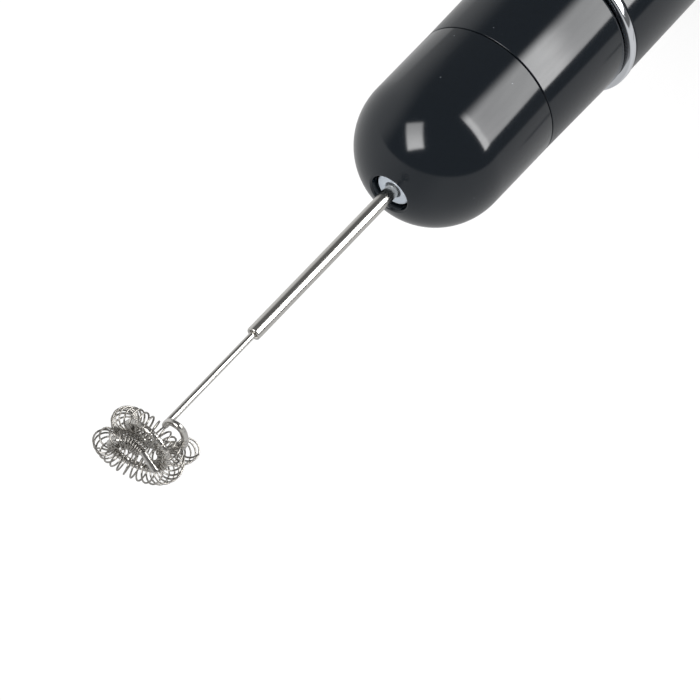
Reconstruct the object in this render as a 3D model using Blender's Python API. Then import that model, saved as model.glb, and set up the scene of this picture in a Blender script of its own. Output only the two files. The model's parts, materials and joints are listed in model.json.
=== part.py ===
"""Battery milk frother, standing on its end cap with the whisk up.

The long axis is +Z and the origin is the middle of the end cap's flat bottom.
Lengths in the code are millimetres; MM turns them into Blender's metres.
"""
import math

import bmesh
import bpy
from mathutils import Vector

MM = 0.001

# Outer shells
HANDLE_RADIUS = 20.15
RING_RADIUS = 20.4
BARREL_RADIUS_LOW = 18.9
BARREL_ROUND = 1.2
PARTING_RADIUS = 18.25
NOSE_RADIUS = 18.05
HOLE_RADIUS = 4.7
WALL = 2.0
CAP_TOP = 7.9
CAP_ROUND = 3.5
HANDLE_TOP = 69.0
RING_WIDTH = 2.1
PARTING_HEIGHT = 100.0
DOME_CENTRE = 119.0
JOINT_GAP = 0.3
SEAM_GAP = 0.15

# Handle inside
HANDLE_BORE = 17.6
NECK_RADIUS = 17.2
NECK_BORE = 15.4
NECK_FOOT = 63.0
CELL_RADIUS = 7.2
CELL_OFFSET = 7.5
CELL_LENGTH = 49.2
CELL_A_FOOT = 8.9
CELL_B_FOOT = 4.8
NUB_HEIGHT = 1.1
TRAY_TOP = 62.2

# Thumb switch, on the +X side
SWITCH_HEIGHT = 50.5
SWITCH_TRAVEL = 4.0
SLOT_WIDTH = 4.4
PAD_HALF = 7.0
PAD_SPREAD = 28.0
RIDGES = 5
RIDGE_SPACING = 2.2

# Motor
CAN_RADIUS = 12.0
CAN_FOOT = 84.5
CAN_TOP = 112.5
SHAFT_RADIUS = 1.0
SHAFT_FOOT = 79.8
SHAFT_TOP = 122.0
SCREW_OFFSET = 8.0
POLES = 3

# Coupling and whisk
COUPLING_RADIUS = 2.5
COUPLING_TOP = 131.4
SLEEVE_RADIUS = 1.6
SLEEVE_FOOT = 124.0
SLEEVE_TOP = 183.9
ROD_RADIUS = 0.75
WHISK_RING_RADIUS = 5.55
WHISK_RING_START = -126.0
WHISK_RING_END = -710.0
WHISK_RING_FOOT = 213.3
WHISK_RING_RISE = 9.25
WHISK_RING_TILT = 8.0
SPRING_WIRE_RADIUS = 0.2
SPRING_COIL_RADIUS = 2.4
SPRING_GRIP_RADIUS = 1.55
SPRING_OFFSET = 1.2
SPRING_PITCH = 11.5
SPRING_START = -166.0
SPRING_STEPS = 6
SPRING_BARE_END = 4.7
SPRING_GRIP_LENGTH = 4.0
SPRING_PACK_START = 3.0
SPRING_PACK_LENGTH = 1.4
SPRING_OPEN_STEP = 1.25
SPRING_TIGHT_STEP = 0.52

# Colours: name -> (red, green, blue), roughness, metallic
FINISHES = {
    "gloss_black_abs": ((0.012, 0.016, 0.02), 0.12, 0.0),
    "chrome_plate": ((0.8, 0.81, 0.83), 0.08, 1.0),
    "white_abs": ((0.6, 0.66, 0.72), 0.4, 0.0),
    "grey_nylon": ((0.25, 0.27, 0.29), 0.45, 0.0),
    "polished_steel": ((0.55, 0.54, 0.52), 0.2, 1.0),
    "spring_steel": ((0.4, 0.39, 0.37), 0.3, 1.0),
    "black_rubber": ((0.02, 0.02, 0.02), 0.8, 0.0),
    "zinc_plate": ((0.5, 0.5, 0.48), 0.4, 1.0),
    "nickel_plate": ((0.6, 0.57, 0.5), 0.25, 1.0),
    "brass": ((0.6, 0.42, 0.16), 0.3, 1.0),
    "copper": ((0.6, 0.25, 0.12), 0.3, 1.0),
    "sintered_bronze": ((0.35, 0.22, 0.1), 0.5, 1.0),
    "ferrite": ((0.05, 0.05, 0.055), 0.7, 0.0),
    "carbon": ((0.03, 0.03, 0.03), 0.6, 0.0),
    "silicon_steel": ((0.3, 0.3, 0.32), 0.45, 1.0),
    "circuit_board": ((0.02, 0.12, 0.05), 0.5, 0.0),
    "cell_wrap": ((0.06, 0.12, 0.28), 0.3, 0.0),
    "red_lead": ((0.5, 0.02, 0.02), 0.5, 0.0),
    "black_lead": ((0.02, 0.02, 0.02), 0.5, 0.0),
}


# ---------------------------------------------------------------- helpers

def clear_scene():
    for thing in list(bpy.data.objects):
        bpy.data.objects.remove(thing, do_unlink=True)


def finish(name):
    """The material of that name, made on first use."""
    material = bpy.data.materials.get(name)
    if material is None:
        colour, roughness, metallic = FINISHES[name]
        material = bpy.data.materials.new(name)
        material.use_nodes = True
        shader = material.node_tree.nodes["Principled BSDF"]
        shader.inputs["Base Color"].default_value = (*colour, 1.0)
        shader.inputs["Roughness"].default_value = roughness
        shader.inputs["Metallic"].default_value = metallic
    return material


def place(name, mesh, material, group=None):
    """Turn a bmesh into a named object, riding on an empty if one is given."""
    bmesh.ops.recalc_face_normals(mesh, faces=mesh.faces)
    data = bpy.data.meshes.new(name)
    mesh.to_mesh(data)
    mesh.free()
    data.shade_smooth()
    data.set_sharp_from_angle(angle=math.radians(35))
    thing = bpy.data.objects.new(name, data)
    return register(thing, material, group)


def register(thing, material, group):
    bpy.context.scene.collection.objects.link(thing)
    thing.data.materials.append(finish(material))
    if group is not None:
        thing.parent = group
        thing.matrix_parent_inverse = group.matrix_world.inverted()
    return thing


def axis_empty(name, x, z):
    """An empty on a joint's axis, which the moving pieces are parented to."""
    empty = bpy.data.objects.new(name, None)
    empty.location = (x * MM, 0, z * MM)
    bpy.context.scene.collection.objects.link(empty)
    bpy.context.view_layer.update()
    return empty


def arc(radius, height, bend, start, end, steps):
    """Points on a round corner centred at (radius, height), angles in degrees."""
    angles = [math.radians(start + (end - start) * i / steps) for i in range(steps + 1)]
    return [(radius + bend * math.cos(a), height + bend * math.sin(a)) for a in angles]


def turned(name, outline, material, group=None, sides=32, shift=(0, 0)):
    """Turn an outline of (radius, height) points round an axis along Z."""
    mesh = bmesh.new()
    corners = [mesh.verts.new((radius * MM, 0, height * MM)) for radius, height in outline]
    pairs = list(zip(corners, corners[1:]))
    if all(radius > 0 for radius, height in outline):
        pairs.append((corners[-1], corners[0]))
    edges = [mesh.edges.new(pair) for pair in pairs]
    bmesh.ops.spin(mesh, geom=corners + edges, cent=(0, 0, 0), axis=(0, 0, 1),
                   angle=math.tau, steps=sides, use_merge=True)
    bmesh.ops.remove_doubles(mesh, verts=mesh.verts, dist=0.00001)
    bmesh.ops.translate(mesh, verts=mesh.verts, vec=(shift[0] * MM, shift[1] * MM, 0))
    return place(name, mesh, material, group)


def sector(name, outline, material, group=None, middle=0.0, spread=90.0, steps=8):
    """Sweep a closed outline of (radius, height) points through part of a turn."""
    mesh = bmesh.new()
    start = math.radians(middle - spread / 2)
    spots = [(r * math.cos(start) * MM, r * math.sin(start) * MM, z * MM) for r, z in outline]
    mesh.faces.new([mesh.verts.new(spot) for spot in spots])
    whole = mesh.verts[:] + mesh.edges[:] + mesh.faces[:]
    bmesh.ops.spin(mesh, geom=whole, cent=(0, 0, 0), axis=(0, 0, 1),
                   angle=math.radians(spread), steps=steps)
    return place(name, mesh, material, group)


def prism(name, outline, foot, top, material, group=None):
    """Extrude a closed outline of (x, y) points along Z."""
    mesh = bmesh.new()
    base = mesh.faces.new([mesh.verts.new((x * MM, y * MM, foot * MM)) for x, y in outline])
    lifted = bmesh.ops.extrude_face_region(mesh, geom=[base])["geom"]
    tops = [part for part in lifted if isinstance(part, bmesh.types.BMVert)]
    bmesh.ops.translate(mesh, verts=tops, vec=(0, 0, (top - foot) * MM))
    return place(name, mesh, material, group)


def block(name, low, high, material, group=None, bevel=0.0):
    """A box between two corners, with rounded edges where bevel is given."""
    outline = [(low[0], low[1]), (high[0], low[1]), (high[0], high[1]), (low[0], high[1])]
    thing = prism(name, outline, low[2], high[2], material, group)
    if bevel:
        rounding = thing.modifiers.new("rounding", "BEVEL")
        rounding.width = bevel * MM
        rounding.segments = 1
    return thing


def wire(name, points, radius, material, group=None, resolution=1):
    """A round wire with closed ends through a list of (x, y, z) points."""
    curve = bpy.data.curves.new(name, "CURVE")
    curve.dimensions = "3D"
    curve.bevel_depth = radius * MM
    curve.bevel_resolution = resolution
    curve.use_fill_caps = True
    spline = curve.splines.new("POLY")
    spline.points.add(len(points) - 1)
    for spot, (x, y, z) in zip(spline.points, points):
        spot.co = (x * MM, y * MM, z * MM, 1.0)
    return register(bpy.data.objects.new(name, curve), material, group)


def cut(target, cutter, operation="DIFFERENCE"):
    """Combine target with a helper shape that is not a piece of the object."""
    cutter.hide_render = True
    cutter.display_type = "WIRE"
    change = target.modifiers.new(cutter.name, "BOOLEAN")
    change.operation = operation
    change.object = cutter


def smooth_path(stops, steps):
    """A Catmull-Rom curve through the stops."""
    spots = [Vector(stop) for stop in stops]
    spots = [2 * spots[0] - spots[1]] + spots + [2 * spots[-1] - spots[-2]]
    path = []
    for a, b, c, d in zip(spots, spots[1:], spots[2:], spots[3:]):
        for i in range(steps):
            t = i / steps
            path.append(0.5 * (2 * b + (c - a) * t + (2 * a - 5 * b + 4 * c - d) * t * t
                               + (3 * b - a - 3 * c + d) * t ** 3))
    path.append(spots[-2])
    return path


# ---------------------------------------------------------------- outer shells

def make_nose_cap():
    inner = NOSE_RADIUS - WALL
    rim_angle = math.degrees(math.acos((HOLE_RADIUS + 0.2) / NOSE_RADIUS))
    bore_angle = math.degrees(math.acos(HOLE_RADIUS / inner))
    foot = PARTING_HEIGHT + SEAM_GAP
    outline = [(PARTING_RADIUS, foot)]
    outline += arc(0, DOME_CENTRE, NOSE_RADIUS, 0, rim_angle, 9)
    outline += [(HOLE_RADIUS, outline[-1][1] - 0.3)]
    outline += arc(0, DOME_CENTRE, inner, bore_angle, 0, 5)
    outline += [(inner, 104.0), (14.4, 102.5), (14.4, 94.5), (15.75, 94.5), (15.75, foot)]
    turned("nose_cap", outline, "gloss_black_abs")


def make_front_housing():
    top = PARTING_HEIGHT - SEAM_GAP
    edge = HANDLE_TOP + RING_WIDTH + 2 * JOINT_GAP
    outline = [(NECK_BORE, NECK_FOOT), (NECK_RADIUS, NECK_FOOT), (NECK_RADIUS, edge)]
    outline += arc(BARREL_RADIUS_LOW - BARREL_ROUND, edge + BARREL_ROUND, BARREL_ROUND, -75, 0, 3)
    outline += [(PARTING_RADIUS, top), (16.1, top), (16.1, 91.7), (14.2, 91.7), (14.2, 90.2),
                (16.1, 88.3), (16.1, 75.5), (NECK_BORE, 74.5)]
    turned("front_housing", outline, "gloss_black_abs")


def make_trim_ring():
    foot = HANDLE_TOP + JOINT_GAP
    top = foot + RING_WIDTH
    outline = [(NECK_RADIUS + JOINT_GAP, foot), (RING_RADIUS - 0.5, foot), (RING_RADIUS, foot + 0.5),
               (RING_RADIUS, top - 0.5), (RING_RADIUS - 0.5, top), (NECK_RADIUS + JOINT_GAP, top)]
    turned("trim_ring", outline, "chrome_plate")


def make_handle_shell():
    foot = CAP_TOP + JOINT_GAP
    outline = [(HANDLE_BORE, foot), (HANDLE_RADIUS - 0.3, foot), (HANDLE_RADIUS, foot + 0.3),
               (HANDLE_RADIUS, HANDLE_TOP - 0.3), (HANDLE_RADIUS - 0.3, HANDLE_TOP),
               (HANDLE_BORE, HANDLE_TOP)]
    shell = turned("handle_shell", outline, "gloss_black_abs")
    half = SLOT_WIDTH / 2
    slot = block("slot_cutter", (10, -half, SWITCH_HEIGHT - 2.5),
                 (25, half, SWITCH_HEIGHT + 2.5 + SWITCH_TRAVEL), "gloss_black_abs")
    cut(shell, slot)


def make_end_cap(group):
    outline = [(0, 0), (HANDLE_RADIUS - CAP_ROUND, 0)]
    outline += arc(HANDLE_RADIUS - CAP_ROUND, CAP_ROUND, CAP_ROUND, -60, 0, 3)
    outline += [(HANDLE_RADIUS, CAP_TOP), (17.2, CAP_TOP), (17.2, 9.5), (16.2, 9.5), (16.2, 11.3),
                (17.2, 11.3), (17.2, 14.0), (15.4, 14.0), (15.4, 2.4), (0, 2.4)]
    turned("end_cap", outline, "gloss_black_abs", group)
    turned("cap_seal", arc(16.85, 10.4, 0.6, 0, 300, 5), "black_rubber", group)


# ---------------------------------------------------------------- battery bay

def make_cell(name, foot, side, upright):
    """One AA cell; side is -1 or 1, and an upright cell has its nub on top."""
    body = [(0, 0), (CELL_RADIUS - 0.4, 0), (CELL_RADIUS, 0.4), (CELL_RADIUS, CELL_LENGTH - 0.6),
            (CELL_RADIUS - 0.6, CELL_LENGTH), (2.75, CELL_LENGTH), (2.75, CELL_LENGTH + NUB_HEIGHT),
            (0, CELL_LENGTH + NUB_HEIGHT)]
    if upright:
        outline = [(radius, foot + height) for radius, height in body]
    else:
        outline = [(radius, foot + CELL_LENGTH - height) for radius, height in body]
    turned(name, outline, "cell_wrap", sides=24, shift=(0, side * CELL_OFFSET))


def make_contact_spring(name, foot, height, side, group=None):
    turns, steps = 3.5, 10
    points = []
    for i in range(int(turns * steps) + 1):
        part = i / (turns * steps)
        angle = math.tau * i / steps
        radius = 4.2 - 1.4 * part
        points.append((radius * math.cos(angle), side * CELL_OFFSET + radius * math.sin(angle),
                       foot + height * part))
    wire(name, points, 0.3, "nickel_plate", group, resolution=0)


def make_battery_tray():
    tray = block("battery_tray", (-8.4, -15.1, 15.0), (-2.5, 15.1, 60.8), "black_lead")
    roof = block("tray_roof", (-8.4, -12.2, 60.6), (7.5, 12.2, TRAY_TOP), "black_lead")
    cut(tray, roof, "UNION")
    bore = CELL_RADIUS + 0.25
    for side in (-1, 1):
        outline = [(0, 10.0), (bore, 10.0), (bore, 60.6), (0, 60.6)]
        cutter = turned(f"cell_cutter_{side}", outline, "black_lead", sides=24,
                        shift=(0, side * CELL_OFFSET))
        cut(tray, cutter)
    for name, side in (("contact_positive", -1), ("contact_negative", 1)):
        near, far = sorted((side * 3.0, side * 12.0))
        block(name, (-4.0, near, 59.95), (9.0, far, 60.3), "nickel_plate")


def make_battery_bay(cap_group):
    make_cell("battery_a", CELL_A_FOOT, -1, True)
    make_cell("battery_b", CELL_B_FOOT, 1, False)
    make_battery_tray()
    make_contact_spring("battery_spring_b", CELL_B_FOOT + CELL_LENGTH + 0.6, 4.7, 1)
    block("cap_bridge", (-4.5, -12.0, 2.6), (4.5, 12.0, 3.0), "nickel_plate", cap_group)
    make_contact_spring("battery_spring_a", 3.5, 4.8, -1, cap_group)


# ---------------------------------------------------------------- thumb switch

def make_switch(group):
    low, high = SWITCH_HEIGHT - PAD_HALF, SWITCH_HEIGHT + PAD_HALF
    face, skin = HANDLE_RADIUS + 0.25, HANDLE_RADIUS + 1.1
    outline = [(face, low), (skin, low)]
    for i in range(RIDGES):
        foot = SWITCH_HEIGHT - 5.0 + i * RIDGE_SPACING
        outline += [(skin, foot), (skin + 0.5, foot + 0.35), (skin + 0.5, foot + 0.85), (skin, foot + 1.2)]
    outline += [(skin, high), (face, high)]
    slider = sector("switch_slider", outline, "gloss_black_abs", group, 0.0, PAD_SPREAD, 5)
    stem = block("slider_stem", (17.3, -1.8, SWITCH_HEIGHT - 2.0), (face + 0.35, 1.8, SWITCH_HEIGHT + 2.0),
                 "gloss_black_abs")
    cut(slider, stem, "UNION")
    block("switch_lever", (14.8, -0.9, SWITCH_HEIGHT - 0.8), (17.0, 0.9, SWITCH_HEIGHT + 0.8),
          "grey_nylon", group)
    block("switch_body", (9.2, -3.0, 44.0), (14.5, 3.0, 59.0), "zinc_plate", bevel=0.4)
    block("switch_board", (7.9, -6.0, 40.0), (8.9, 6.0, 58.6), "circuit_board")


def make_leads():
    routes = {
        "lead_battery": ("red_lead", [(8.3, -5.5, 61.0), (9.8, -5.2, 62.2), (11.2, -4.8, 60.4),
                                      (10.6, -4.5, 57.6), (9.6, -4.5, 55.0)]),
        "lead_motor": ("red_lead", [(9.6, 4.5, 55.0), (11.0, 4.6, 58.0), (12.4, 4.0, 62.0),
                                    (12.2, 2.4, 68.0), (9.6, 0.6, 73.5), (8.2, 0.0, 77.2)]),
        "lead_return": ("black_lead", [(8.3, 5.5, 61.0), (8.4, 6.6, 64.0), (5.5, 8.4, 68.5),
                                       (-1.5, 7.0, 72.0), (-6.6, 2.8, 74.6), (-8.2, 0.0, 77.2)]),
    }
    for name, (material, stops) in routes.items():
        wire(name, smooth_path(stops, 3), 0.6, material)


# ---------------------------------------------------------------- motor

def make_motor_holder():
    outline = [(12.4, 84.6), (14.0, 84.6), (14.0, 92.0), (15.7, 92.0), (15.7, 93.9), (14.0, 93.9),
               (14.0, 113.6), (12.8, 114.8), (6.4, 114.8), (5.1, 116.1), (5.1, 132.3), (4.1, 133.3),
               (4.1, 134.6), (3.9, 134.8), (2.1, 134.8), (2.1, 132.0), (3.6, 132.0), (3.6, 115.6),
               (4.1, 115.1), (4.1, 112.9), (12.4, 112.9)]
    holder = turned("motor_holder", outline, "white_abs", sides=28)
    cut(holder, screw_cutter("holder_hole_a", 1))
    cut(holder, screw_cutter("holder_hole_b", -1))


def screw_cutter(name, side):
    outline = [(0, 100.0), (1.2, 100.0), (1.2, 120.0), (0, 120.0)]
    return turned(name, outline, "zinc_plate", sides=12, shift=(side * SCREW_OFFSET, 0))


def make_motor_can():
    wall = 0.8
    outline = [(CAN_RADIUS, CAN_FOOT), (CAN_RADIUS, CAN_TOP - 0.5), (CAN_RADIUS - 0.5, CAN_TOP),
               (3.6, CAN_TOP), (3.6, CAN_TOP + 1.9), (2.7, CAN_TOP + 1.9), (2.7, CAN_TOP - wall),
               (CAN_RADIUS - wall, CAN_TOP - wall), (CAN_RADIUS - wall, CAN_FOOT)]
    can = turned("motor_can", outline, "zinc_plate", sides=28)
    cut(can, screw_cutter("can_hole_a", 1))
    cut(can, screw_cutter("can_hole_b", -1))
    bell = [(CAN_RADIUS, 82.4), (CAN_RADIUS, 84.2), (10.9, 84.2), (10.9, 88.0), (9.6, 88.0),
            (9.6, 84.6), (2.7, 84.6), (2.7, 80.4), (4.2, 80.4), (4.2, 82.4)]
    turned("motor_end_bell", bell, "ferrite", sides=24)


def make_motor_fittings():
    for name, foot in (("rear_bush", 81.0), ("front_bush", 111.8)):
        bore = SHAFT_RADIUS + 0.15
        turned(name, [(bore, foot), (2.4, foot), (2.4, foot + 2.4), (bore, foot + 2.4)],
               "sintered_bronze", sides=16)
    for letter, side in (("a", 1), ("b", -1)):
        middle = 0 if side > 0 else 180
        sector(f"magnet_{letter}", [(9.2, 91.0), (10.9, 91.0), (10.9, 109.0), (9.2, 109.0)],
               "ferrite", None, middle, 130.0, 8)
        near, far = sorted((side * 3.35, side * 5.6))
        block(f"brush_{letter}", (near, -1.0, 89.6), (far, 1.0, 91.4), "carbon")
        near, far = sorted((side * 7.9, side * 8.5))
        block(f"terminal_{letter}", (near, -1.3, 77.9), (far, 1.3, 82.2), "brass")
        head = [(0, 110.4), (0.9, 110.4), (0.9, 115.0), (1.9, 115.0), (1.9, 115.9), (1.3, 116.4),
                (0, 116.4)]
        turned(f"motor_screw_{letter}", head, "zinc_plate", sides=12, shift=(side * SCREW_OFFSET, 0))


def make_armature_core(group):
    """Three T-shaped poles on a hub, bored for the shaft."""
    outline = []
    for pole in range(POLES):
        turn = 360.0 * pole / POLES
        for angle, radius in ((-60, 2.9), (-28, 3.9), (-14, 6.6), (-50, 7.0), (-50, 8.6), (-25, 8.6),
                              (0, 8.6), (25, 8.6), (50, 8.6), (50, 7.0), (14, 6.6), (28, 3.9)):
            a = math.radians(turn + angle)
            outline.append((radius * math.cos(a), radius * math.sin(a)))
    core = prism("armature_core", outline, 94.0, 106.0, "silicon_steel", group)
    bore = SHAFT_RADIUS + 0.15
    cutter = turned("core_cutter", [(0, 90.0), (bore, 90.0), (bore, 110.0), (0, 110.0)],
                    "silicon_steel", sides=12)
    cut(core, cutter)


def make_windings(group):
    """A coil of copper round each pole's stem, lying across the core's ends."""
    for pole, letter in zip(range(POLES), "abc"):
        turn = 360.0 * pole / POLES
        coil = block(f"winding_{letter}", (3.8, -2.9, 92.6), (5.4, 2.9, 107.4), "copper", group,
                     bevel=0.5)
        stem = block(f"stem_cutter_{letter}", (3.0, -2.05, 93.7), (8.0, 2.05, 106.3), "copper")
        for thing in (coil, stem):
            thing.rotation_euler[2] = math.radians(turn)
        cut(coil, stem)


def make_rotor(group):
    turned("motor_shaft", [(0, SHAFT_FOOT), (SHAFT_RADIUS, SHAFT_FOOT), (SHAFT_RADIUS, SHAFT_TOP),
                           (0, SHAFT_TOP)], "polished_steel", group, sides=12)
    make_armature_core(group)
    make_windings(group)
    bore = SHAFT_RADIUS + 0.15
    turned("commutator", [(bore, 88.8), (3.1, 88.8), (3.1, 91.8), (3.7, 91.8), (3.7, 92.4),
                          (bore, 92.4)], "copper", group, sides=18)
    coupling = [(0, 122.3), (bore, 122.3), (bore, 117.0), (2.2, 117.0), (COUPLING_RADIUS, 117.3),
                (COUPLING_RADIUS, COUPLING_TOP - 0.3), (2.2, COUPLING_TOP), (1.75, COUPLING_TOP),
                (1.75, 123.0), (0, 123.0)]
    turned("drive_coupling", coupling, "grey_nylon", group, sides=20)


# ---------------------------------------------------------------- whisk

def ring_point(angle, radius):
    """A point on the whisk's rising ring: clockwise seen from above, and higher on the +X side."""
    part = (angle - WHISK_RING_START) / (WHISK_RING_END - WHISK_RING_START)
    a = math.radians(angle)
    height = WHISK_RING_FOOT + WHISK_RING_RISE * part
    height += radius * math.cos(a) * math.tan(math.radians(WHISK_RING_TILT))
    return Vector((radius * math.cos(a), radius * math.sin(a), height))


def whisk_tail(lead_in):
    """The bend from the ring's end into the bar across the ring, with its lead-in point."""
    stops = [lead_in, (5.1, -0.9, 223.05), (4.0, -2.0, 222.3), (2.4, -2.4, 221.4),
             (-0.4, -2.0, 221.1), (-5.0, -1.1, 221.75)]
    return smooth_path(stops, 5)


def make_whisk_rod(group):
    hook = [(0, 0, 126.0), (0, 0, 160.0), (0, 0, 205.0), (0, 0, 211.6), (0, -0.7, 212.8),
            (0, -2.9, 213.1), (-0.6, -4.4, 213.1), (-2.1, -5.2, 213.1)]
    straight = [Vector(stop) for stop in hook[:3]]
    bent = smooth_path(hook[3:] + [ring_point(WHISK_RING_START, WHISK_RING_RADIUS)], 3)[:-1]
    steps = 44
    turn = WHISK_RING_END - WHISK_RING_START
    ring = [ring_point(WHISK_RING_START + turn * i / steps, WHISK_RING_RADIUS)
            for i in range(steps)]
    tail = whisk_tail(ring_point(WHISK_RING_END, WHISK_RING_RADIUS))
    wire("whisk_rod", straight + bent + ring + tail, ROD_RADIUS, "polished_steel", group, 2)
    sleeve = [(0.87, SLEEVE_FOOT), (SLEEVE_RADIUS, SLEEVE_FOOT), (SLEEVE_RADIUS, SLEEVE_TOP - 0.7),
              (SLEEVE_RADIUS - 0.25, SLEEVE_TOP - 0.2), (SLEEVE_RADIUS - 0.5, SLEEVE_TOP),
              (0.87, SLEEVE_TOP)]
    turned("whisk_sleeve", sleeve, "polished_steel", group, sides=16)


def spring_frame(tangent, outward):
    """Two directions across the spring's path, the first as near outward as it can be."""
    first = (outward - tangent * outward.dot(tangent)).normalized()
    return first, tangent.cross(first)


def ring_turns():
    """Coil points round the ring: evenly spaced turns, pushed outward on the wire."""
    points = []
    count = int((SPRING_START - WHISK_RING_END) / SPRING_PITCH * SPRING_STEPS)
    for i in range(count):
        angle = SPRING_START - SPRING_PITCH * i / SPRING_STEPS
        centre = ring_point(angle, WHISK_RING_RADIUS + SPRING_OFFSET)
        ahead = ring_point(angle - 1.0, WHISK_RING_RADIUS + SPRING_OFFSET)
        outward = Vector((centre.x, centre.y, 0)).normalized()
        first, second = spring_frame((ahead - centre).normalized(), outward)
        phase = math.tau * i / SPRING_STEPS
        points.append(centre + SPRING_COIL_RADIUS * (first * math.cos(phase) + second * math.sin(phase)))
    return points, first


def tail_turns(outward):
    """Coil points round the bend and the bar: the coil grips the wire, then packs tight."""
    path = whisk_tail(ring_point(WHISK_RING_END, WHISK_RING_RADIUS))
    lengths = [0.0]
    for a, b in zip(path, path[1:]):
        lengths.append(lengths[-1] + (b - a).length)
    end = lengths[-1] - SPRING_BARE_END
    points, travelled, phase, side = [], 0.0, 0.0, outward
    while travelled < end:
        index = max(i for i, length in enumerate(lengths) if length <= travelled)
        step = lengths[index + 1] - lengths[index]
        along = (travelled - lengths[index]) / step
        centre = path[index].lerp(path[index + 1], along)
        tangent = (path[index + 1] - path[index]).normalized()
        side, across = spring_frame(tangent, side)
        grip = min(1.0, travelled / SPRING_GRIP_LENGTH)
        packed = min(1.0, max(0.0, (travelled - SPRING_PACK_START) / SPRING_PACK_LENGTH))
        radius = SPRING_COIL_RADIUS + (SPRING_GRIP_RADIUS - SPRING_COIL_RADIUS) * grip
        shift = SPRING_OFFSET * (1.0 - grip) * side
        points.append(centre + shift + radius * (side * math.cos(phase) + across * math.sin(phase)))
        pitch = SPRING_OPEN_STEP + (SPRING_TIGHT_STEP - SPRING_OPEN_STEP) * packed
        travelled += pitch / SPRING_STEPS
        phase += math.tau / SPRING_STEPS
    return points


def make_whisk_spring(group):
    points, outward = ring_turns()
    points += tail_turns(outward)
    wire("whisk_spring", points, SPRING_WIRE_RADIUS, "spring_steel", group, resolution=0)


def main():
    clear_scene()
    cap_axis = axis_empty("cap_axis", 0, 0)
    rotor_axis = axis_empty("rotor_axis", 0, SHAFT_FOOT)
    switch_axis = axis_empty("switch_axis", HANDLE_RADIUS, SWITCH_HEIGHT)
    make_nose_cap()
    make_front_housing()
    make_trim_ring()
    make_handle_shell()
    make_end_cap(cap_axis)
    make_battery_bay(cap_axis)
    make_switch(switch_axis)
    make_leads()
    make_motor_holder()
    make_motor_can()
    make_motor_fittings()
    make_rotor(rotor_axis)
    make_whisk_rod(rotor_axis)
    make_whisk_spring(rotor_axis)


main()
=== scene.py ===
import json
import math

import bmesh
import bpy
from mathutils import Matrix, Vector


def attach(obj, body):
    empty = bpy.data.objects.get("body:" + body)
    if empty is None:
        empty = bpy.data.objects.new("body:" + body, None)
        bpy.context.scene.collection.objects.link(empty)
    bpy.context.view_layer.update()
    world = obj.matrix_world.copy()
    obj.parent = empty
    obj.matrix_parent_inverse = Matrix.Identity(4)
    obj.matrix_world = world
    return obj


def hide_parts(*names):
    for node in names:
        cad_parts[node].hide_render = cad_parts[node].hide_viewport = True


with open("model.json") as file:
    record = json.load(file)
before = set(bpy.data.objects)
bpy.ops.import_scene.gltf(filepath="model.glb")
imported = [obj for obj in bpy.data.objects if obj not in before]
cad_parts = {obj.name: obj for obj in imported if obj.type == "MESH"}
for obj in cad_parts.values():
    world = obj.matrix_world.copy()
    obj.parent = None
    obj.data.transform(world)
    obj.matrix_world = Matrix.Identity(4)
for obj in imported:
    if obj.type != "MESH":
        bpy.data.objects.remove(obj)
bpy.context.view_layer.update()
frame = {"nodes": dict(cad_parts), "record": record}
mm = 0.001
nodes = frame["nodes"]
print("frame loaded:", len(nodes), "CAD nodes")

# camera: looks down past the whisk at the nose, rolled so that the frother lies across the view
cameraSettings = {
    "location": (0.0, -0.4621, 0.4211),
    "lookAlong": (-0.0322, 0.8786, -0.4763),
    "up": (0.6947, -0.3228, -0.6424),
    "lens": 128.57,
    "sensor": 36.0,
}


def makeCamera():
    data = bpy.data.cameras.new("productCamera")
    data.lens = cameraSettings["lens"]
    data.sensor_width = cameraSettings["sensor"]
    data.clip_start = 0.01
    data.clip_end = 60.0
    camera = bpy.data.objects.new("productCamera", data)
    forward = Vector(cameraSettings["lookAlong"]).normalized()
    right = forward.cross(Vector(cameraSettings["up"])).normalized()
    up = right.cross(forward)
    turn = Matrix((right, up, -forward)).transposed().to_4x4()
    camera.matrix_world = Matrix.Translation(cameraSettings["location"]) @ turn
    bpy.context.scene.collection.objects.link(camera)
    bpy.context.scene.camera = camera
    return right, up


cameraRight, cameraUp = makeCamera()


def srgb(code):  # hex code to linear colour
    parts = [int(code[i:i + 2], 16) / 255 for i in (0, 2, 4)]
    return tuple(c / 12.92 if c <= 0.04045 else ((c + 0.055) / 1.055) ** 2.4 for c in parts) + (1.0,)


def addNode(tree, kind, values=None, links=None, **options):
    node = tree.nodes.new(kind)
    for key, value in options.items():
        setattr(node, key, value)
    for key, value in (values or {}).items():
        node.inputs[key].default_value = value
    for key, socket in (links or {}).items():
        tree.links.new(socket, node.inputs[key])
    return node


def newMaterial(name, values):
    material = bpy.data.materials.new(name)
    material.use_nodes = True
    tree = material.node_tree
    shader = tree.nodes["Principled BSDF"]
    for key, value in values.items():
        shader.inputs[key].default_value = value
    place = addNode(tree, "ShaderNodeTexCoord").outputs["Object"]
    return material, tree, shader, place


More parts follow.
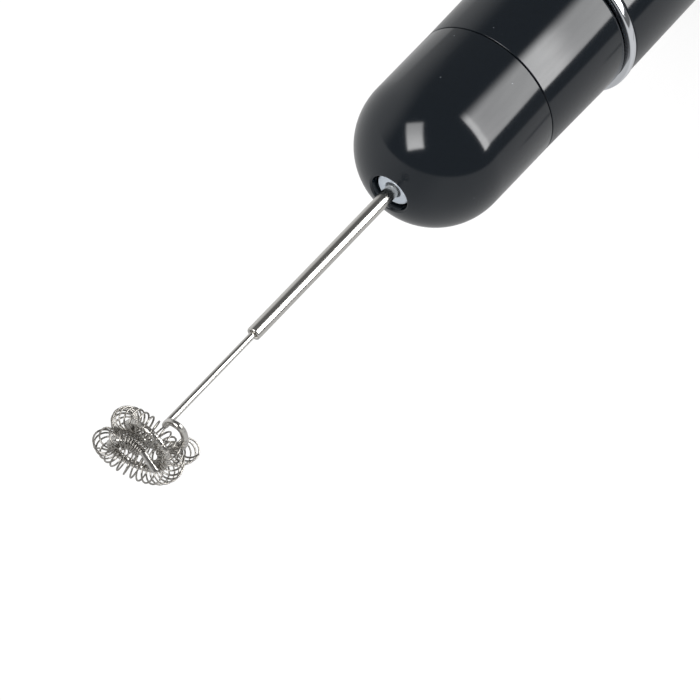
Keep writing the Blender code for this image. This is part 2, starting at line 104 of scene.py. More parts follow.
def makePolishedAbs():
    # ABS moulded in a polished tool: near black with a cold cast, mirror-like, with the faintest
    # sink ripple and a few specks of dust
    material, tree, shader, place = newMaterial("polishedBlackAbs", {"IOR": 1.5})
    ripple = addNode(tree, "ShaderNodeTexNoise", {"Scale": 1 / (9 * mm), "Detail": 1.0}, {"Vector": place})
    grain = addNode(tree, "ShaderNodeTexNoise", {"Scale": 1 / (0.5 * mm), "Detail": 2.0}, {"Vector": place})
    gloss = addNode(tree, "ShaderNodeMapRange", {"To Min": 0.085, "To Max": 0.135},
                    {"Value": grain.outputs["Fac"]})
    specks = addNode(tree, "ShaderNodeTexVoronoi", {"Scale": 1 / (5.5 * mm)}, {"Vector": place})
    dust = addNode(tree, "ShaderNodeMapRange",
                   {"From Min": 0.018, "From Max": 0.03, "To Min": 1.0, "To Max": 0.0},
                   {"Value": specks.outputs["Distance"]})
    tint = addNode(tree, "ShaderNodeMix", {6: srgb("13191f"), 7: srgb("6f757a")}, {0: dust.outputs[0]},
                   data_type="RGBA")
    swell = addNode(tree, "ShaderNodeBump", {"Strength": 0.05, "Distance": 0.2 * mm},
                    {"Height": ripple.outputs["Fac"]})
    tree.links.new(tint.outputs[2], shader.inputs["Base Color"])
    tree.links.new(gloss.outputs[0], shader.inputs["Roughness"])
    tree.links.new(swell.outputs[0], shader.inputs["Normal"])
    return material


def makeChrome():
    # chrome plate over ABS: bright, slightly cold, mirror smooth with fine polishing haze
    material, tree, shader, place = newMaterial("chromePlatedAbs", {
        "Base Color": srgb("e6e9ee"), "Metallic": 1.0})
    haze = addNode(tree, "ShaderNodeTexNoise", {"Scale": 1 / (0.8 * mm), "Detail": 3.0}, {"Vector": place})
    gloss = addNode(tree, "ShaderNodeMapRange", {"To Min": 0.05, "To Max": 0.14},
                    {"Value": haze.outputs["Fac"]})
    waves = addNode(tree, "ShaderNodeTexNoise", {"Scale": 1 / (3 * mm), "Detail": 1.0}, {"Vector": place})
    swell = addNode(tree, "ShaderNodeBump", {"Strength": 0.12, "Distance": 0.15 * mm},
                    {"Height": waves.outputs["Fac"]})
    tree.links.new(gloss.outputs[0], shader.inputs["Roughness"])
    tree.links.new(swell.outputs[0], shader.inputs["Normal"])
    return material


def makeDrawnSteel(name, colour, streakWidth, streakLength, rough):
    # stainless tube and wire drawn through a die and polished: bright, with hairlines along its length
    material, tree, shader, place = newMaterial(name, {"Base Color": srgb(colour), "Metallic": 1.0})
    streak = (1 / streakWidth, 1 / streakWidth, 1 / streakLength)
    stretch = addNode(tree, "ShaderNodeMapping", {"Scale": streak}, {"Vector": place})
    hair = addNode(tree, "ShaderNodeTexNoise", {"Scale": 1.0, "Detail": 3.0},
                   {"Vector": stretch.outputs[0]})
    gloss = addNode(tree, "ShaderNodeMapRange", {"To Min": rough * 0.6, "To Max": rough * 1.5},
                    {"Value": hair.outputs["Fac"]})
    shade = addNode(tree, "ShaderNodeMapRange", {"To Min": 0.82, "To Max": 1.1},
                    {"Value": hair.outputs["Fac"]})
    tint = addNode(tree, "ShaderNodeVectorMath", {0: srgb(colour)[:3]}, {1: shade.outputs[0]},
                   operation="MULTIPLY")
    scratch = addNode(tree, "ShaderNodeBump", {"Strength": 0.05, "Distance": 0.02 * mm},
                      {"Height": hair.outputs["Fac"]})
    tree.links.new(tint.outputs[0], shader.inputs["Base Color"])
    tree.links.new(gloss.outputs[0], shader.inputs["Roughness"])
    tree.links.new(scratch.outputs[0], shader.inputs["Normal"])
    return material


# plainer finishes: colour, roughness, metallic, grain in mm, depth of the grain in mm
plainFinishes = {
    "mouldedWhiteAbs": ("ccd5df", 0.38, 0.0, 0.4, 0.01),  # satin tool finish, cool white
    "mouldedGreyNylon": ("83888d", 0.42, 0.0, 0.5, 0.02),  # slightly waxy
    "mouldedNitrileRubber": ("1c1c1c", 0.75, 0.0, 0.3, 0.02),  # matt, dusty
    "platedZincSteel": ("b4b6b4", 0.36, 1.0, 0.7, 0.01),  # dull bright sheet
    "platedNickelStrip": ("c9c3b6", 0.22, 1.0, 0.6, 0.005),  # warm bright strip
    "stampedBrass": ("c9a45c", 0.3, 1.0, 0.5, 0.01),
    "enamelledCopper": ("b5653a", 0.3, 1.0, 0.25, 0.06),  # grain as coarse as the wound wire
    "sinteredBronze": ("8f6a40", 0.5, 1.0, 0.15, 0.02),  # porous, oiled
    "firedFerrite": ("36373a", 0.62, 0.0, 0.2, 0.02),
    "pressedCarbon": ("2a2a2b", 0.5, 0.0, 0.15, 0.01),
    "stackedLaminations": ("8c8d91", 0.42, 1.0, 0.5, 0.05),  # sheet edges half a millimetre apart
    "solderMask": ("1b5a38", 0.4, 0.0, 0.6, 0.01),  # green lacquer over copper tracks
    "shrinkWrap": ("3d4c66", 0.28, 0.0, 1.5, 0.01),  # plain slate sleeve on the cells
    "redPvc": ("b3231f", 0.45, 0.0, 0.3, 0.01),
    "blackPvc": ("1b1b1c", 0.5, 0.0, 0.3, 0.01),
}


def makePlain(name):
    colour, rough, metallic, grain, depth = plainFinishes[name]
    material, tree, shader, place = newMaterial(name, {"Metallic": metallic})
    noise = addNode(tree, "ShaderNodeTexNoise", {"Scale": 1 / (grain * mm), "Detail": 3.0},
                    {"Vector": place})
    shade = addNode(tree, "ShaderNodeMapRange", {"To Min": 0.88, "To Max": 1.08},
                    {"Value": noise.outputs["Fac"]})
    tint = addNode(tree, "ShaderNodeVectorMath", {0: srgb(colour)[:3]}, {1: shade.outputs[0]},
                   operation="MULTIPLY")
    gloss = addNode(tree, "ShaderNodeMapRange", {"To Min": rough * 0.85, "To Max": rough * 1.15},
                    {"Value": noise.outputs["Fac"]})
    bump = addNode(tree, "ShaderNodeBump", {"Strength": 0.3, "Distance": depth * mm},
                   {"Height": noise.outputs["Fac"]})
    tree.links.new(tint.outputs[0], shader.inputs["Base Color"])
    tree.links.new(gloss.outputs[0], shader.inputs["Roughness"])
    tree.links.new(bump.outputs[0], shader.inputs["Normal"])
    return material


finishes = {name: makePlain(name) for name in plainFinishes}
finishes["polishedBlackAbs"] = makePolishedAbs()
finishes["chromePlatedAbs"] = makeChrome()
finishes["drawnStainlessTube"] = makeDrawnSteel("drawnStainlessTube", "d6d4d0", 0.12 * mm, 14 * mm, 0.2)
finishes["drawnSpringWire"] = makeDrawnSteel("drawnSpringWire", "a9a6a1", 0.3 * mm, 3 * mm, 0.24)

# which finish stands for each material slot of the record
slotFinishes = {
    "gloss_black_abs": "polishedBlackAbs", "chrome_plate": "chromePlatedAbs",
    "white_abs": "mouldedWhiteAbs", "grey_nylon": "mouldedGreyNylon",
    "polished_steel": "drawnStainlessTube", "spring_steel": "drawnSpringWire",
    "black_rubber": "mouldedNitrileRubber", "zinc_plate": "platedZincSteel",
    "nickel_plate": "platedNickelStrip", "brass": "stampedBrass", "copper": "enamelledCopper",
    "sintered_bronze": "sinteredBronze", "ferrite": "firedFerrite", "carbon": "pressedCarbon",
    "silicon_steel": "stackedLaminations", "circuit_board": "solderMask", "cell_wrap": "shrinkWrap",
    "red_lead": "redPvc", "black_lead": "blackPvc",
}


def dressCadNodes():
    for part in frame["record"]["subparts"]:
        thing = nodes[part["node"]]
        thing.data.materials.clear()
        thing.data.materials.append(finishes[slotFinishes[part["material_slot"]]])


dressCadNodes()
print("materials made:", len(finishes))


def addPiece(name, data, finish, body, node):
    piece = bpy.data.objects.new(name, data)
    bpy.context.scene.collection.objects.link(piece)
    data.materials.clear()
    data.materials.append(finishes[finish])
    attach(piece, body)
    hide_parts(node)
    return piece


def closeMesh(name, mesh, sharp=32):
    bmesh.ops.remove_doubles(mesh, verts=mesh.verts, dist=0.002 * mm)
    bmesh.ops.recalc_face_normals(mesh, faces=mesh.faces)
    data = bpy.data.meshes.new(name)
    mesh.to_mesh(data)
    mesh.free()
    data.shade_smooth()
    data.set_sharp_from_angle(angle=math.radians(sharp))
    return data


def cornerArc(radius, height, bend, start, end, steps):
    # (radius, height) points on an arc about a centre, angles in degrees
    turns = [math.radians(start + (end - start) * i / steps) for i in range(steps + 1)]
    return [(radius + bend * math.cos(a), height + bend * math.sin(a)) for a in turns]


def roundCorner(radius, height, bend, start=0, end=90, steps=4):
    # an outline's rounded outer corner at (radius, height); at a lower corner the angles start below 0
    centre = height + bend if start < 0 else height - bend
    return cornerArc(radius - bend, centre, bend, start, end, steps)


def turnedMesh(outline, steps=128, closed=True):
    # an outline of (radius, height) in mm, spun round the Z axis
    mesh = bmesh.new()
    corners = [mesh.verts.new((radius * mm, 0, height * mm)) for radius, height in outline]
    pairs = list(zip(corners, corners[1:]))
    if closed:
        pairs.append((corners[-1], corners[0]))
    edges = [mesh.edges.new(pair) for pair in pairs]
    bmesh.ops.spin(mesh, geom=corners + edges, cent=(0, 0, 0), axis=(0, 0, 1), angle=math.tau,
                   steps=steps, use_merge=True)
    return mesh


def makeNose():
    # dome with a rolled rim round the whisk's hole, and a spigot inside the front housing
    nose = {"radius": 18.05, "wall": 2.0, "hole": 4.7, "rim": 0.45, "centre": 119.0, "foot": 100.15,
            "footRadius": 18.25, "edge": 0.18, "shoulderLow": 102.5, "shoulderHigh": 104.0,
            "spigotRadius": 15.75, "spigotBore": 14.4, "spigotFoot": 94.5}
    inner = nose["radius"] - nose["wall"]
    rimRadius = nose["hole"] + nose["rim"]
    rimTurn = math.degrees(math.acos(rimRadius / nose["radius"]))
    rimTop = nose["centre"] + nose["radius"] * math.sin(math.radians(rimTurn))
    boreTurn = math.degrees(math.acos(nose["hole"] / inner))
    outline = roundCorner(nose["footRadius"], nose["foot"], nose["edge"], -90, 0)
    outline += cornerArc(0, nose["centre"], nose["radius"], 0, rimTurn - 1, 40)
    outline += cornerArc(rimRadius, rimTop - nose["rim"], nose["rim"], 80, 180, 6)
    outline += cornerArc(0, nose["centre"], inner, boreTurn, 0, 14)
    outline += [(inner, nose["shoulderHigh"]), (nose["spigotBore"], nose["shoulderLow"]),
                (nose["spigotBore"], nose["spigotFoot"]), (nose["spigotRadius"], nose["spigotFoot"]),
                (nose["spigotRadius"], nose["foot"])]
    data = closeMesh("noseDome", turnedMesh(outline))
    addPiece("noseDome", data, "polishedBlackAbs", "housing", "nose_cap")


def makeBarrel():
    # front housing: slight draft to the parting line, rounded lower edge above the trim ring, a neck
    # inside the handle and a shelf that the motor's holder rests on
    barrel = {"low": 18.9, "top": 18.25, "foot": 71.6, "parting": 99.85, "edge": 0.18, "round": 1.0,
              "neckRadius": 17.2, "neckBore": 15.4, "neckFoot": 63.0, "neckTop": 74.5, "bore": 16.1,
              "boreFoot": 75.5, "shelfBore": 14.2, "shelfSlope": 88.3, "shelfFoot": 90.2, "shelf": 91.7}
    outline = [(barrel["neckBore"], barrel["neckFoot"]), (barrel["neckRadius"], barrel["neckFoot"]),
               (barrel["neckRadius"], barrel["foot"])]
    outline += roundCorner(barrel["low"], barrel["foot"], barrel["round"], -80, 0, 8)
    outline += roundCorner(barrel["top"], barrel["parting"], barrel["edge"])
    outline += [(barrel["bore"], barrel["parting"]), (barrel["bore"], barrel["shelf"]),
                (barrel["shelfBore"], barrel["shelf"]), (barrel["shelfBore"], barrel["shelfFoot"]),
                (barrel["bore"], barrel["shelfSlope"]), (barrel["bore"], barrel["boreFoot"]),
                (barrel["neckBore"], barrel["neckTop"])]
    data = closeMesh("frontBarrel", turnedMesh(outline))
    addPiece("frontBarrel", data, "polishedBlackAbs", "housing", "front_housing")


def makeRing():
    # crowned chrome band with rolled edges
    ring = {"foot": 69.3, "top": 71.4, "inner": 17.5, "outer": 20.4, "roll": 0.55, "crown": 8}
    outline = [(ring["inner"], ring["foot"])]
    outline += roundCorner(ring["outer"], ring["foot"], ring["roll"], -90, -ring["crown"], 6)
    outline += [(ring["outer"], (ring["foot"] + ring["top"]) / 2)]
    outline += roundCorner(ring["outer"], ring["top"], ring["roll"], ring["crown"], 90, 6)
    outline += [(ring["inner"], ring["top"])]
    data = closeMesh("trimBand", turnedMesh(outline), 50)
    addPiece("trimBand", data, "chromePlatedAbs", "housing", "trim_ring")


def makeSlotShape(handle):
    # a rounded block that reaches through the handle's wall
    slot = bmesh.new()
    bmesh.ops.create_cube(slot, size=1.0)
    length = handle["slotHigh"] - handle["slotLow"]
    middle = handle["slotLow"] + length / 2
    bmesh.ops.scale(slot, verts=slot.verts,
                    vec=(handle["slotDepth"] * mm, handle["slotWidth"] * mm, length * mm))
    bmesh.ops.translate(slot, verts=slot.verts, vec=(handle["slotReach"] * mm, 0, middle * mm))
    bmesh.ops.bevel(slot, geom=slot.edges[:], offset=handle["slotRound"] * mm, offset_type="OFFSET",
                    segments=3, profile=0.5, affect="EDGES", material=-1)
    data = bpy.data.meshes.new("slotShape")
    slot.to_mesh(data)
    slot.free()
    shape = bpy.data.objects.new("slotShape", data)
    bpy.context.scene.collection.objects.link(shape)
    return shape


def makeHandle():
    # tube open at both ends, with a slot for the thumb switch's stem
    handle = {"radius": 20.15, "bore": 17.6, "foot": 8.2, "top": 69.0, "edge": 0.35, "slotWidth": 4.4,
              "slotLow": 48.0, "slotHigh": 57.0, "slotDepth": 12.0, "slotReach": 18.0, "slotRound": 0.6}
    outline = [(handle["bore"], handle["foot"])]
    outline += roundCorner(handle["radius"], handle["foot"], handle["edge"], -90, 0)
    outline += roundCorner(handle["radius"], handle["top"], handle["edge"])
    outline += [(handle["bore"], handle["top"])]
    data = closeMesh("handleTube", turnedMesh(outline))
    tube = addPiece("handleTube", data, "polishedBlackAbs", "housing", "handle_shell")
    shape = makeSlotShape(handle)
    opening = tube.modifiers.new("slot", "BOOLEAN")
    opening.object = shape
    bpy.context.view_layer.update()
    cutTube = tube.evaluated_get(bpy.context.evaluated_depsgraph_get())
    cutData = bpy.data.meshes.new_from_object(cutTube)
    tube.modifiers.clear()
    tube.data = cutData
    bpy.data.objects.remove(shape, do_unlink=True)


def makeEndCap():
    # battery cover: rounded foot, shallow ring under it to stand on, plug with a groove for its seal
    cap = {"radius": 20.15, "round": 3.5, "top": 7.9, "edge": 0.3, "dish": 0.25, "dishRadius": 12.6,
           "standRadius": 13.0, "plug": 17.2, "plugTop": 14.0, "chamfer": 0.4, "groove": 16.2,
           "grooveLow": 9.5, "grooveHigh": 11.3, "bore": 15.4, "floor": 2.4}
    outline = [(0, cap["dish"]), (cap["dishRadius"], cap["dish"]), (cap["standRadius"], 0),
               (cap["radius"] - cap["round"], 0)]
    outline += roundCorner(cap["radius"], 0, cap["round"], -88, 0, 12)
    outline += roundCorner(cap["radius"], cap["top"], cap["edge"])
    outline += [(cap["plug"], cap["top"]), (cap["plug"], cap["grooveLow"]),
                (cap["groove"], cap["grooveLow"]), (cap["groove"], cap["grooveHigh"]),
                (cap["plug"], cap["grooveHigh"]), (cap["plug"], cap["plugTop"] - cap["chamfer"]),
                (cap["plug"] - cap["chamfer"], cap["plugTop"]), (cap["bore"], cap["plugTop"]),
                (cap["bore"], cap["floor"]), (0, cap["floor"])]
    data = closeMesh("batteryCover", turnedMesh(outline, closed=False))
    addPiece("batteryCover", data, "polishedBlackAbs", "cap", "end_cap")


def makeSlider():
    # thumb switch: a curved pad with rounded ridges across it, and a stem through the handle's slot
    pad = {"face": 20.4, "skin": 21.2, "ridge": 0.55, "ridges": 5, "spacing": 2.2, "sink": 0.1,
           "middle": 50.5, "half": 7.0, "spread": 28.0, "edge": 0.4, "stem": (3.1, 3.6, 4.0),
           "stemReach": 18.85}
    low, high = pad["middle"] - pad["half"], pad["middle"] + pad["half"]
    outline = [(pad["face"], low)]
    outline += roundCorner(pad["skin"], low, pad["edge"], -90, 0)
    for i in range(pad["ridges"]):
        centre = pad["middle"] + (i - (pad["ridges"] - 1) / 2) * pad["spacing"]
        outline += cornerArc(pad["skin"] - pad["sink"], centre, pad["ridge"] + pad["sink"], -80, 80, 6)
    outline += roundCorner(pad["skin"], high, pad["edge"])
    outline += [(pad["face"], high)]
    mesh = bmesh.new()
    start = math.radians(-pad["spread"] / 2)
    spots = [(r * math.cos(start) * mm, r * math.sin(start) * mm, z * mm) for r, z in outline]
    mesh.faces.new([mesh.verts.new(spot) for spot in spots])
    bmesh.ops.spin(mesh, geom=mesh.verts[:] + mesh.edges[:] + mesh.faces[:], cent=(0, 0, 0), axis=(0, 0, 1),
                   angle=math.radians(pad["spread"]), steps=24)
    stem = bmesh.ops.create_cube(mesh, size=1.0)["verts"]
    bmesh.ops.scale(mesh, verts=stem, vec=[size * mm for size in pad["stem"]])
    bmesh.ops.translate(mesh, verts=stem, vec=(pad["stemReach"] * mm, 0, pad["middle"] * mm))
    data = closeMesh("thumbSlider", mesh)
    addPiece("thumbSlider", data, "polishedBlackAbs", "switch", "switch_slider")


def makeCoupling():
    # the hub that grips the whisk's tube: a bore for the motor's shaft below, a chamfered mouth above
    hub = {"radius": 2.5, "bore": 1.72, "foot": 117.0, "top": 131.4, "edge": 0.25, "chamfer": 0.3,
           "flare": 0.2, "shaftBore": 1.15, "shaftEnd": 122.3, "tubeEnd": 123.0}
    outline = [(0, hub["shaftEnd"]), (hub["shaftBore"], hub["shaftEnd"]), (hub["shaftBore"], hub["foot"]),
               (hub["radius"] - hub["chamfer"], hub["foot"]), (hub["radius"], hub["foot"] + hub["chamfer"])]
    outline += roundCorner(hub["radius"], hub["top"], hub["edge"])
    outline += [(hub["bore"] + hub["flare"], hub["top"]), (hub["bore"], hub["top"] - hub["chamfer"]),
                (hub["bore"], hub["tubeEnd"]), (0, hub["tubeEnd"])]
    data = closeMesh("whiskHub", turnedMesh(outline, 64, closed=False))
    addPiece("whiskHub", data, "mouldedGreyNylon", "rotor", "drive_coupling")


def makeSleeve():
    # steel tube with its end rolled in on the wire
    tube = {"radius": 1.6, "bore": 0.82, "foot": 124.0, "top": 183.9, "roll": 0.3, "rollDepth": 0.6}
    outline = [(tube["bore"], tube["foot"]), (tube["radius"], tube["foot"])]
    outline += roundCorner(tube["radius"], tube["top"], tube["roll"], 0, 165, 10)
    outline += [(tube["bore"], tube["top"] - tube["rollDepth"])]
    data = closeMesh("whiskTube", turnedMesh(outline, 48), 50)
    addPiece("whiskTube", data, "drawnStainlessTube", "rotor", "whisk_sleeve")


# bent wire, and the coil wound round it; angles in degrees, lengths in mm
whisk = {
    "rodRadius": 0.75, "ringRadius": 5.55, "ringStart": -126.0, "ringEnd": -710.0, "ringFoot": 213.3,
    "ringRise": 9.25, "ringTilt": 8.0, "ringSteps": 150, "tailSteps": 12,
    "wireRadius": 0.2, "coilRadius": 2.4, "coilSteps": 24, "offset": 1.2, "pitch": 11.5,
    "springStart": -166.0, "gripRadius": 1.55, "gripLength": 4.0, "openTurn": 1.25, "packing": 0.73,
    "packStart": 3.0, "packLength": 1.4, "bareEnd": 4.7,
}


def ringPoint(angle, radius):
    part = (angle - whisk["ringStart"]) / (whisk["ringEnd"] - whisk["ringStart"])
    a = math.radians(angle)
    height = whisk["ringFoot"] + whisk["ringRise"] * part
    height += radius * math.cos(a) * math.tan(math.radians(whisk["ringTilt"]))
    return Vector((radius * math.cos(a), radius * math.sin(a), height))


def smoothPath(stops, steps):  # Catmull-Rom curve through the stops
    spots = [Vector(stop) for stop in stops]
    spots = [2 * spots[0] - spots[1]] + spots + [2 * spots[-1] - spots[-2]]
    path = []
    for a, b, c, d in zip(spots, spots[1:], spots[2:], spots[3:]):
        for i in range(steps):
            t = i / steps
            path.append(0.5 * (2 * b + (c - a) * t + (2 * a - 5 * b + 4 * c - d) * t * t
                               + (3 * b - a - 3 * c + d) * t ** 3))
    path.append(spots[-2])
    return path


def tailPath():
    # from the ring's end round the bend and along the bar across the ring
    stops = [ringPoint(whisk["ringEnd"], whisk["ringRadius"]), (5.1, -0.9, 223.05), (4.0, -2.0, 222.3),
             (2.4, -2.4, 221.4), (-0.4, -2.0, 221.1), (-5.0, -1.1, 221.75)]
    return smoothPath(stops, whisk["tailSteps"])


def makeWire(name, points, radius, sides, finish, node):
    curve = bpy.data.curves.new(name, "CURVE")
    curve.dimensions = "3D"
    curve.bevel_depth = radius * mm
    curve.bevel_resolution = sides // 2 - 2
    curve.use_fill_caps = True
    spline = curve.splines.new("POLY")
    spline.points.add(len(points) - 1)
    for spot, point in zip(spline.points, points):
        spot.co = (*(point * mm), 1.0)
    spline.use_smooth = True
    return addPiece(name, curve, finish, "rotor", node)


def makeRod():
    # spring wire from inside the tube, hooked out to the ring, round it and back across
    hook = [(0, 0, 211.6), (0, -0.7, 212.8), (0, -2.9, 213.1), (-0.6, -4.4, 213.1), (-2.1, -5.2, 213.1)]
    shank = [Vector((0, 0, height)) for height in (126.0, 150.0, 180.0, 200.0, 209.0)]
    bend = smoothPath(hook + [ringPoint(whisk["ringStart"], whisk["ringRadius"])], 8)[:-1]
    turn = whisk["ringEnd"] - whisk["ringStart"]
    steps = whisk["ringSteps"]
    ring = [ringPoint(whisk["ringStart"] + turn * i / steps, whisk["ringRadius"]) for i in range(steps)]
    makeWire("whiskWire", shank + bend + ring + tailPath(), whisk["rodRadius"], 16, "drawnStainlessTube",
             "whisk_rod")


def acrossPath(tangent, outward):
    # two directions across a path, the first as near outward as it can be
    first = (outward - tangent * outward.dot(tangent)).normalized()
    return first, tangent.cross(first)


def ringCoil():
    # evenly spaced turns round the ring, lying outward on the wire
    points = []
    steps = whisk["coilSteps"]
    radius = whisk["ringRadius"] + whisk["offset"]
    count = int((whisk["springStart"] - whisk["ringEnd"]) / whisk["pitch"] * steps)
    for i in range(count):
        angle = whisk["springStart"] - whisk["pitch"] * i / steps
        centre = ringPoint(angle, radius)
        tangent = (ringPoint(angle - 1.0, radius) - centre).normalized()
        first, second = acrossPath(tangent, Vector((centre.x, centre.y, 0)).normalized())
        phase = math.tau * i / steps
        points.append(centre + whisk["coilRadius"] * (first * math.cos(phase) + second * math.sin(phase)))
    return points, first, phase


def tailCoil(side, phase):
    # the coil grips the wire round the bend, then packs tight on the bar
    path = tailPath()
    lengths = [0.0]
    for a, b in zip(path, path[1:]):
        lengths.append(lengths[-1] + (b - a).length)
    steps = whisk["coilSteps"]
    points, travelled = [], 0.0
    while travelled < lengths[-1] - whisk["bareEnd"]:
        index = max(i for i, length in enumerate(lengths) if length <= travelled)
        along = (travelled - lengths[index]) / (lengths[index + 1] - lengths[index])
        centre = path[index].lerp(path[index + 1], along)
        side, across = acrossPath((path[index + 1] - path[index]).normalized(), side)
        grip = min(1.0, travelled / whisk["gripLength"])
        packed = min(1.0, max(0.0, (travelled - whisk["packStart"]) / whisk["packLength"]))
        radius = whisk["coilRadius"] + (whisk["gripRadius"] - whisk["coilRadius"]) * grip
        shift = whisk["offset"] * (1.0 - grip) * side
        points.append(centre + shift + radius * (side * math.cos(phase) + across * math.sin(phase)))
        travelled += (whisk["openTurn"] - whisk["packing"] * packed) / steps
        phase += math.tau / steps
    return points


def makeSpring():
    points, side, phase = ringCoil()
    points += tailCoil(side, phase + math.tau / whisk["coilSteps"])
    makeWire("whiskCoil", points, whisk["wireRadius"], 6, "drawnSpringWire", "whisk_spring")


makeNose()
makeBarrel()
makeRing()
makeHandle()
makeEndCap()
makeSlider()
makeCoupling()
makeSleeve()
makeRod()
makeSpring()

# levels are brightnesses, angles are in degrees, and pairs are where an edge starts and ends
studio = {
    "floorColour": "fbfbfb", "floorSize": 8.0, "whiteLevel": 1.09,
    "surroundLeft": 0.78, "surroundMiddle": 0.5, "surroundRight": 0.66,
    "leftEdge": (-0.2, 0.8), "rightEdge": (0.3, 0.8),
    "darkLevel": 0.14, "darkSide": (0.358, -0.913, -0.194), "darkEdge": (-0.02, 0.03),
    "darkFadeSide": (-1, -0.35, 0), "darkFade": (-0.95, -0.6),
    "seamTurn": 100.0, "seamWidth": (0.012, 0.04), "seamStart": (0.595, 0.612), "seamShade": 0.4,
    "panelLevel": 7.0, "panelNear": (-0.1, 0.16), "panelEnd": 54.5, "panelFar": (0.0, 0.03),
    "panelTop": (19.0, 21.5), "panelFade": (-0.55, -0.47), "panelLow": 0.8, "panelHigh": 1.45,
    "clothScale": 12.0, "clothShade": (0.8, 1.2),
    "windowLevel": 9.0, "windowSwing": 32.4, "windowAside": (-0.956, 0.295), "windowSide": (0.5, 0.6),
    "windowHalf": (0.235, 0.34), "windowEdge": 0.07, "windowFade": (-0.3, 0.3), "windowLow": 1.15,
    "windowHigh": 0.65,
}


def makeFloor():
    mesh = bmesh.new()
    bmesh.ops.create_grid(mesh, x_segments=1, y_segments=1, size=studio["floorSize"] / 2)
    data = bpy.data.meshes.new("studioFloor")
    mesh.to_mesh(data)
    mesh.free()
    floor = bpy.data.objects.new("studioFloor", data)
    material, tree, shader, place = newMaterial("paleSweep", {
        "Base Color": srgb(studio["floorColour"]), "Roughness": 0.9, "Specular IOR Level": 0.0})
    data.materials.append(material)
    floor.visible_glossy = False
    bpy.context.scene.collection.objects.link(floor)


def facing(tree, ray, direction, low, high):  # 0 to 1 as a ray turns towards a direction
    dot = addNode(tree, "ShaderNodeVectorMath", {1: direction}, {0: ray}, operation="DOT_PRODUCT")
    ramp = addNode(tree, "ShaderNodeMapRange", {"From Min": low, "From Max": high},
                   {"Value": dot.outputs["Value"]}, interpolation_type="SMOOTHSTEP")
    return ramp.outputs[0]


def times(tree, first, second):
    return addNode(tree, "ShaderNodeMath", None, {0: first, 1: second}, operation="MULTIPLY").outputs[0]


def between(tree, factor, low, high):
    ramp = addNode(tree, "ShaderNodeMapRange", {"To Min": low, "To Max": high}, {"Value": factor})
    return ramp.outputs[0]


def darkSide(tree, ray):
    # unlit half of the room; it fades to white again far out on the +X side
    dark = facing(tree, ray, Vector(studio["darkSide"]).normalized(), *studio["darkEdge"])
    fade = facing(tree, ray, Vector(studio["darkFadeSide"]).normalized(), *studio["darkFade"])
    return times(tree, dark, fade)


def sweepSeam(tree, ray):
    # a thin dark line where the sweep's edge is mirrored
    turn = math.radians(studio["seamTurn"])
    start, end = studio["seamWidth"]
    across = (-math.cos(turn), math.sin(turn), 0)
    dot = addNode(tree, "ShaderNodeVectorMath", {1: across}, {0: ray}, operation="DOT_PRODUCT")
    gap = addNode(tree, "ShaderNodeMath", None, {0: dot.outputs["Value"]}, operation="ABSOLUTE")
    line = addNode(tree, "ShaderNodeMapRange",
                   {"From Min": start, "From Max": end, "To Min": 1.0, "To Max": 0.0},
                   {"Value": gap.outputs[0]})
    seam = times(tree, line.outputs[0], facing(tree, ray, Vector((0, 0, -1)), *studio["seamStart"]))
    return between(tree, seam, 1.0, studio["seamShade"])


def paleSide(tree, ray):
    # pale walls, brighter far out along X on both sides
    middle = studio["surroundMiddle"]
    left = facing(tree, ray, Vector((1, 0, 0)), *studio["leftEdge"])
    right = facing(tree, ray, Vector((-1, 0, 0)), *studio["rightEdge"])
    pale = between(tree, left, middle, studio["surroundLeft"])
    pale = times(tree, pale, between(tree, right, 1.0, studio["surroundRight"] / middle))
    return times(tree, pale, sweepSeam(tree, ray))


def lowPanel(tree, ray):
    # a long cloth-covered light below the housing, dimmer at its lower edge
    turn = math.radians(studio["panelEnd"])
    near = facing(tree, ray, Vector((-1, 0, 0)), *studio["panelNear"])
    far = facing(tree, ray, Vector((math.cos(turn), -math.sin(turn), 0)), *studio["panelFar"])
    below = [math.sin(math.radians(angle)) for angle in studio["panelTop"]]
    low = facing(tree, ray, Vector((0, 0, -1)), *below)
    panel = times(tree, times(tree, near, far), low)
    fade = facing(tree, ray, Vector((0, 0, 1)), *studio["panelFade"])
    panel = times(tree, panel, between(tree, fade, studio["panelLow"], studio["panelHigh"]))
    cloth = addNode(tree, "ShaderNodeTexNoise", {"Scale": studio["clothScale"], "Detail": 2.0},
                    {"Vector": ray})
    return times(tree, panel, between(tree, cloth.outputs["Fac"], *studio["clothShade"]))


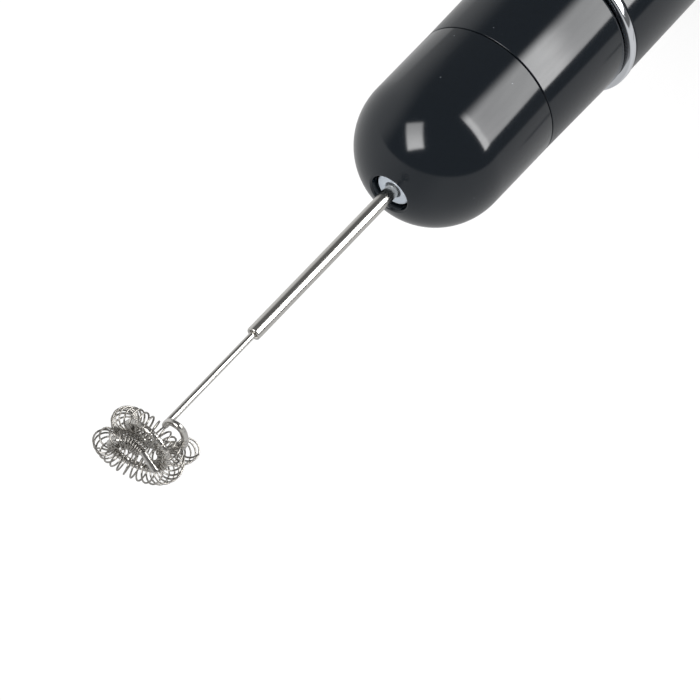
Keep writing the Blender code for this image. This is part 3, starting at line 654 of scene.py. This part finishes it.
def smallWindow(tree, ray):
    # a square window up and to the left of the camera, brighter at its lower edge
    right, up = studio["windowAside"]
    away = -Vector(cameraSettings["lookAlong"]).normalized()
    offset = (right * cameraRight + up * cameraUp).normalized()
    swing = math.radians(studio["windowSwing"])
    middle = away * math.cos(swing) + offset * math.sin(swing)
    across = cameraRight - middle * cameraRight.dot(middle)
    across.normalize()
    upward = middle.cross(across)
    window = facing(tree, ray, middle, *studio["windowSide"])
    for direction, half in zip((across, upward), studio["windowHalf"]):
        for sign in (-1, 1):
            edge = facing(tree, ray, direction * sign, -half, -half + studio["windowEdge"])
            window = times(tree, window, edge)
    shade = facing(tree, ray, upward, *studio["windowFade"])
    return times(tree, window, between(tree, shade, studio["windowLow"], studio["windowHigh"]))


def makeSurround():
    # an even pale studio; in reflections it has a dark side, a long low panel and a small window
    world = bpy.data.worlds.new("studioSurround")
    bpy.context.scene.world = world
    world.use_nodes = True
    tree = world.node_tree
    tree.nodes.clear()
    ray = addNode(tree, "ShaderNodeTexCoord").outputs["Generated"]
    level = addNode(tree, "ShaderNodeMix", {3: studio["darkLevel"]},
                    {0: darkSide(tree, ray), 2: paleSide(tree, ray)}).outputs[0]
    lights = ((lowPanel(tree, ray), studio["panelLevel"]), (smallWindow(tree, ray), studio["windowLevel"]))
    for shape, strength in lights:
        glow = addNode(tree, "ShaderNodeMath", {1: strength}, {0: shape}, operation="MULTIPLY")
        both = {0: level, 1: glow.outputs[0]}
        level = addNode(tree, "ShaderNodeMath", None, both, operation="ADD").outputs[0]
    path = addNode(tree, "ShaderNodeLightPath")
    strength = addNode(tree, "ShaderNodeMix", {2: studio["whiteLevel"]},
                       {0: path.outputs["Is Glossy Ray"], 3: level})
    background = addNode(tree, "ShaderNodeBackground", {"Color": (1, 1, 1, 1)},
                         {"Strength": strength.outputs[0]})
    addNode(tree, "ShaderNodeOutputWorld", None, {"Surface": background.outputs[0]})


makeFloor()
makeSurround()
bpy.context.scene.view_settings.view_transform = "Standard"
print("studio made")
